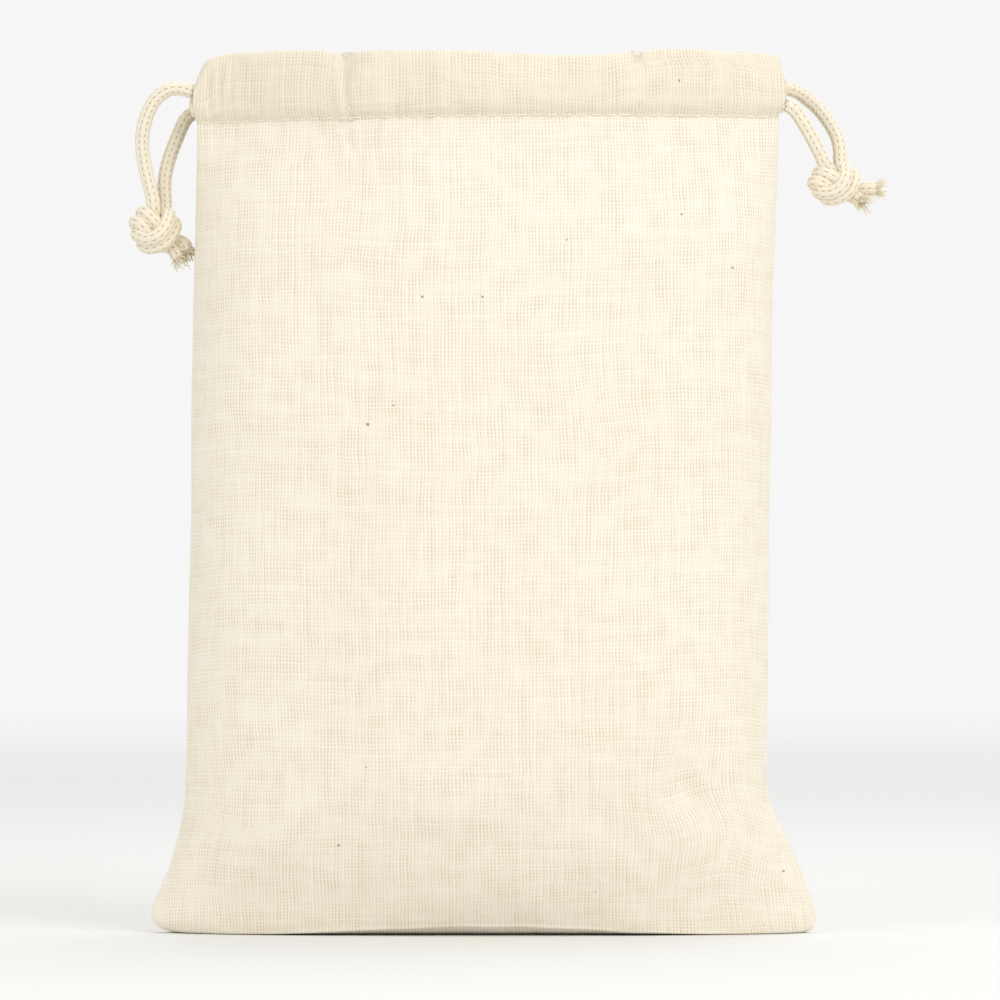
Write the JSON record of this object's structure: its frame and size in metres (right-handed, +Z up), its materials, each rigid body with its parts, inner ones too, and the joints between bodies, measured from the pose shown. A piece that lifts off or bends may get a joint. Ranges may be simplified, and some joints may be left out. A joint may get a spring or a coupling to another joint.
{
  "type": "drawstring pouch",
  "caption": "Open-mouthed cotton muslin pouch with a folded casing and knitted drawstrings knotted at both sides, standing on its base.",
  "frame": {"origin": "on the floor under the middle of the pouch, measured without the free cords", "axes": "+Z up from the base to the mouth, +Y from the front to the back, +X to the right as the front is seen"},
  "size_m": [0.4193, 0.1526, 0.5],
  "materials": {
    "muslin": "matt unbleached plain-weave cotton muslin with slubs and seed flecks",
    "casing": "matt unbleached cotton muslin, two layers, stitched along its lower edge",
    "cord": "soft knitted natural cotton cord"
  },
  "bodies": {
    "root": {"front_panel": "muslin", "back_panel": "muslin", "front_casing": "casing", "back_casing": "casing", "left_drawstring": "cord", "right_drawstring": "cord", "left_front_strand": "cord", "left_back_strand": "cord", "right_front_strand": "cord", "right_back_strand": "cord", "left_knot": "cord", "right_knot": "cord"}
  },
  "joints": []
}
